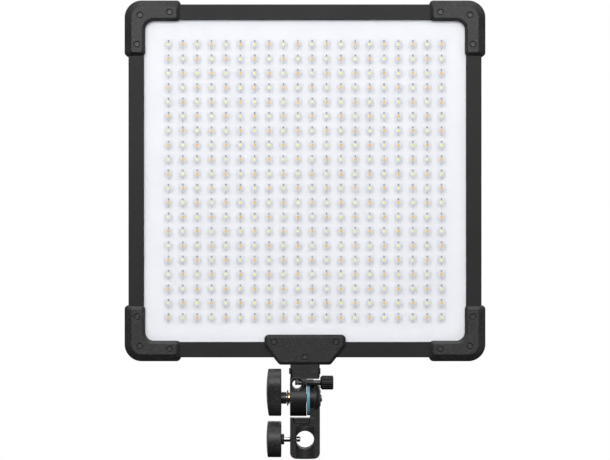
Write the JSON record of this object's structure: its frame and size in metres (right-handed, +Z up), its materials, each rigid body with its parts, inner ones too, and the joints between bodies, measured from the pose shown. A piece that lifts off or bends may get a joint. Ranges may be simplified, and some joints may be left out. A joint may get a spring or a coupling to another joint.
{
  "type": "led panel light",
  "caption": "Square bi-colour LED panel light with corner caps on a tilting stand bracket with a lock lever, stand clamp and umbrella holder.",
  "frame": {"origin": "centre of the mouth of the upright stand socket, on its axis", "axes": "+Z up along the stand axis, -Y the way the light shines, +X to the right of someone facing the lit side"},
  "size_m": [0.326, 0.0511, 0.414],
  "materials": {
    "cast_metal": "fine satin black powder coat on die-cast aluminium",
    "frame_metal": "matt black anodised extrusion",
    "plate_metal": "matt black textured coat",
    "cap_plastic": "matt black moulded plastic with a fine grain",
    "handle_plastic": "matt black glass-filled nylon with a fine grain",
    "knob_plastic": "satin black plastic with ribs",
    "disc_plastic": "teal-blue friction plastic with pale flecks",
    "black_steel": "black oxide steel",
    "chrome_steel": "bright chrome",
    "steel": "turned steel",
    "brass": "turned brass",
    "lens_clear": "clear moulded acrylic",
    "board_white": "white solder mask on an aluminium-core board",
    "led_cool": "pale yellow phosphor in a white package",
    "led_warm": "orange phosphor in a white package",
    "spacer_plastic": "white nylon",
    "cover_metal": "matt black coated sheet",
    "box_plastic": "matt black moulded plastic",
    "key_metal": "mill-finish aluminium",
    "circuit_board": "green glass-epoxy board",
    "insulator": "black insulator"
  },
  "bodies": {
    "bracket_base": {"stand_receiver": "cast_metal", "tilt_bolt": "steel", "friction_disc": "disc_plastic", "thrust_washer": "brass", "steel_washer": "black_steel"},
    "panel": {"tilt_head": "cast_metal", "bracket_foot": "cast_metal", "cross_bolt": "black_steel", "cross_bolt_nut": "black_steel", "mount_plate_front": "plate_metal", "mount_plate_rear": "plate_metal", "mount_plate_screws": "black_steel", "frame_bar_top": "frame_metal", "frame_bar_left": "frame_metal", "frame_bar_right": "frame_metal", "frame_bar_bottom": "frame_metal", "corner_cap_screws": "black_steel", "lens_sheet": "lens_clear", "led_board": "board_white", "leds_cool": "led_cool", "leds_warm": "led_warm", "back_cover": "cover_metal", "front_spacer_strips": "spacer_plastic", "rear_spacer_strips": "spacer_plastic", "connection_box": "box_plastic", "connection_box_screws": "black_steel", "interface_board": "circuit_board", "link_connector": "insulator", "inlet_shell": "chrome_steel", "inlet_nut": "chrome_steel", "inlet_insert": "insulator", "inlet_pins": "brass", "corner_cap_top_left": "cap_plastic", "corner_key_top_left": "key_metal", "corner_cap_top_right": "cap_plastic", "corner_key_top_right": "key_metal", "corner_cap_bottom_left": "cap_plastic", "corner_key_bottom_left": "key_metal", "corner_cap_bottom_right": "cap_plastic", "corner_key_bottom_right": "key_metal"},
    "tilt_lever": {"tilt_lever": "handle_plastic", "tilt_lever_insert": "black_steel"},
    "clamp_tip": {"clamp_pad": "chrome_steel"},
    "clamp_knob": {"clamp_knob": "handle_plastic", "clamp_screw": "chrome_steel"},
    "thumb_tip": {"thumb_screw_pad": "black_steel"},
    "thumb_knob": {"thumb_knob": "knob_plastic", "thumb_screw": "black_steel"}
  },
  "joints": [
    {"name": "panel_tilt", "type": "hinge", "parent": "bracket_base", "child": "panel", "pos_m": [0, 0, 0.0546], "axis": [1, 0, 0], "range_deg": [-90, 90]},
    {"name": "tilt_lock", "type": "hinge", "parent": "bracket_base", "child": "tilt_lever", "pos_m": [-0.028, 0, 0.0546], "axis": [1, 0, 0], "range_deg": [-120, 0]},
    {"name": "clamp_feed", "type": "slide", "parent": "bracket_base", "child": "clamp_tip", "axis": [1, 0, 0], "range_m": [-0.005, 0.005]},
    {"name": "clamp_turn", "type": "hinge", "parent": "clamp_tip", "child": "clamp_knob", "pos_m": [-0.028, 0, 0.0172], "axis": [1, 0, 0], "range_deg": [-2251, 2251]},
    {"name": "thumb_feed", "type": "slide", "parent": "panel", "child": "thumb_tip", "axis": [1, 0, 0], "range_m": [0, 0.007]},
    {"name": "thumb_turn", "type": "hinge", "parent": "thumb_tip", "child": "thumb_knob", "pos_m": [0.019, -0.0128, 0.069], "axis": [1, 0, 0], "range_deg": [0, 3601]}
  ],
  "couplings": [
    {"joint": "clamp_feed", "follows": "clamp_turn", "m_per_rad": 0.00012732},
    {"joint": "thumb_turn", "follows": "thumb_feed", "rad_per_m": 8976}
  ]
}
